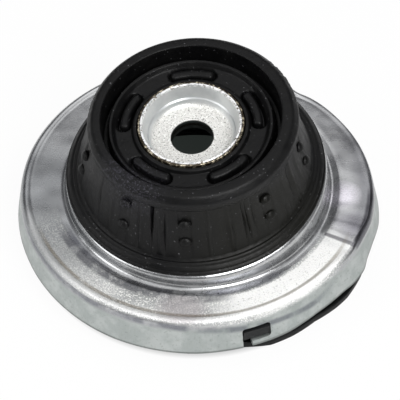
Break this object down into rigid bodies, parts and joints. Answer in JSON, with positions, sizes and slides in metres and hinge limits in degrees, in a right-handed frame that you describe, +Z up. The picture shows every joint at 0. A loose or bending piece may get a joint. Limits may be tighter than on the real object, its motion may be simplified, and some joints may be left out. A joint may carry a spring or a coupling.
{
  "type": "strut bearing",
  "caption": "Strut top mount: a leaning rubber tower with a steel core cup, bonded to a round zinc-plated flange, over a ball bearing and a rubber spring pad.",
  "frame": {"origin": "on the turning axis of the bearing and spring seat, in the plane of the spring pad's underside, which is the lowest plane of the part", "axes": "+Z up along the bearing's turning axis, from the spring to the car's body; the rubber tower and its core lean 5.4 degrees from +Z, toward -X and -Y; the skirt slot with its notch faces -Y, and the raised ear lies on the +X side"},
  "size_m": [0.1269, 0.1254, 0.0602],
  "materials": {
    "zinc_plate": "zinc-plated pressed steel, satin with a fine bright grain",
    "tower_rubber": "moulded black rubber, satin, with a faint dusty bloom",
    "core_steel": "zinc-plated steel, finely speckled floor and smooth drawn wall",
    "shell_steel": "zinc-plated steel with a cut, slightly worn edge",
    "washer_steel": "dull dark steel",
    "case_plastic": "black moulded plastic, matt",
    "race_steel": "hardened steel, ground",
    "ball_steel": "polished bearing steel",
    "cage_plastic": "natural moulded plastic",
    "seal_rubber": "black seal rubber, matt",
    "pad_rubber": "black moulded rubber, satin"
  },
  "bodies": {
    "mount": {"mount_plate": "zinc_plate", "rubber_tower": "tower_rubber", "core_cup": "core_steel", "core_shell": "shell_steel", "stop_washer": "washer_steel", "upper_case": "case_plastic", "upper_race": "race_steel"},
    "cage": {"ball_cage": "cage_plastic", "ball_01": "ball_steel", "ball_02": "ball_steel", "ball_03": "ball_steel", "ball_04": "ball_steel", "ball_05": "ball_steel", "ball_06": "ball_steel", "ball_07": "ball_steel", "ball_08": "ball_steel", "ball_09": "ball_steel", "ball_10": "ball_steel", "ball_11": "ball_steel", "ball_12": "ball_steel", "ball_13": "ball_steel", "ball_14": "ball_steel", "ball_15": "ball_steel", "ball_16": "ball_steel", "ball_17": "ball_steel", "ball_18": "ball_steel", "ball_19": "ball_steel", "ball_20": "ball_steel", "ball_21": "ball_steel", "ball_22": "ball_steel", "ball_23": "ball_steel", "ball_24": "ball_steel"},
    "seat": {"lower_race": "race_steel", "lower_case": "case_plastic", "inner_seal": "seal_rubber", "outer_seal": "seal_rubber", "spring_pad": "pad_rubber"}
  },
  "joints": [
    {"name": "seat_turn", "type": "hinge", "parent": "mount", "child": "seat", "pos_m": [0, 0, 0], "axis": [0, 0, 1], "continuous": true},
    {"name": "cage_turn", "type": "hinge", "parent": "mount", "child": "cage", "pos_m": [0, 0, 0], "axis": [0, 0, 1], "continuous": true}
  ],
  "couplings": [
    {"joint": "cage_turn", "follows": "seat_turn", "ratio": 0.5}
  ]
}
